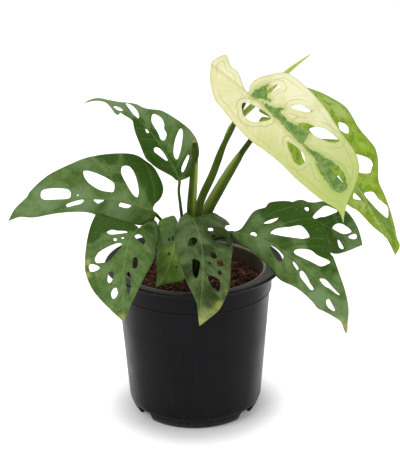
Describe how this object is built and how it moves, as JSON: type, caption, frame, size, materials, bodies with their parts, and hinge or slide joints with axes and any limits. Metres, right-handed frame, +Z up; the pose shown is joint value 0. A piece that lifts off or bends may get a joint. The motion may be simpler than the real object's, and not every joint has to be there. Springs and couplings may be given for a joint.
{
  "type": "potted monstera adansonii plant",
  "caption": "Potted foliage plant: arching stalks carry pointed leaves with oval holes, dark green to lime and cream, above a round black nursery pot filled with bark mix.",
  "frame": {"origin": "centre of the pot's underside, on the surface it stands on", "axes": "+Z up along the pot's axis; -Y towards the viewer; +X towards the tip of the lime leaf"},
  "size_m": [0.321, 0.1653, 0.3034],
  "materials": {
    "pot": "satin, faintly dusty inside the lip",
    "soil": "coarse, matt",
    "stalk": "satin",
    "dark_leaf": "satin, waxy",
    "small_leaf": "satin, waxy",
    "lime_leaf": "satin",
    "cream_leaf": "satin",
    "rolled_leaf": "satin"
  },
  "bodies": {
    "root": {"nursery_pot": "pot", "potting_mix": "soil", "main_stem": "stalk", "cut_stalk": "stalk", "leaf_upper_left": "dark_leaf", "petiole_upper_left": "stalk", "leaf_mid_left": "dark_leaf", "petiole_mid_left": "stalk", "leaf_lower_left": "dark_leaf", "petiole_lower_left": "stalk", "leaf_small_front": "small_leaf", "petiole_small_front": "stalk", "leaf_front": "dark_leaf", "petiole_front": "stalk", "leaf_right_front": "dark_leaf", "petiole_right_front": "stalk", "leaf_right_back": "dark_leaf", "petiole_right_back": "stalk", "leaf_variegated": "cream_leaf", "petiole_variegated": "stalk", "leaf_lime": "lime_leaf", "petiole_lime": "stalk", "rolled_leaf": "rolled_leaf"}
  },
  "joints": []
}
